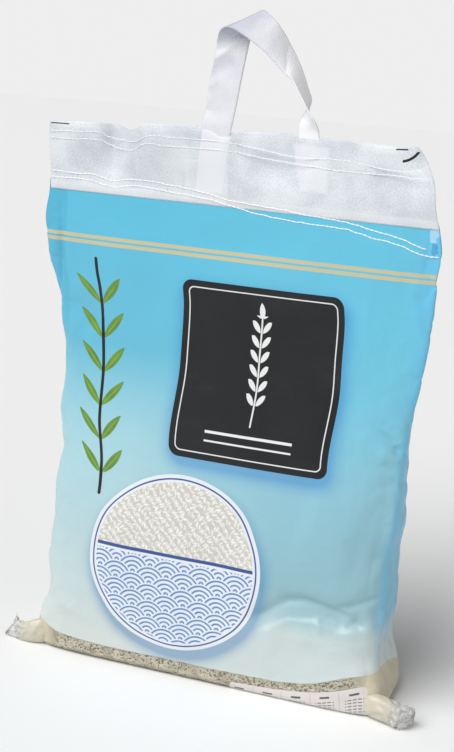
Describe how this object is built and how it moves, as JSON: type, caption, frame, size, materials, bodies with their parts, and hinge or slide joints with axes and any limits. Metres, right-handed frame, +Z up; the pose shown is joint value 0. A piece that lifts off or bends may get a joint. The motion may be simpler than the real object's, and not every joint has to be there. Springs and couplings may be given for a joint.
{
  "type": "rice sack",
  "caption": "Filled rice sack standing on its base: printed film bag with a clear strip and ears at the bottom, sewn white header band and folded webbing handle.",
  "frame": {"origin": "centre of the bounding box's bottom, on the surface the sack stands on", "axes": "+Z up along the sack's height; the shown printed front faces -Y; +X to the right seen from the front"},
  "size_m": [0.4018, 0.1012, 0.5953],
  "materials": {
    "printed_film": "satin printed plastic film, clear at the bottom",
    "header_sheet": "white translucent fine-woven plastic sheet",
    "webbing": "white ribbed webbing",
    "thread": "white sewing thread"
  },
  "bodies": {
    "root": {"sack_film": "printed_film", "header_band": "header_sheet", "webbing_handle": "webbing", "stitch_row_1": "thread", "stitch_row_2": "thread", "stitch_row_3": "thread", "stitch_row_4": "thread"}
  },
  "joints": []
}
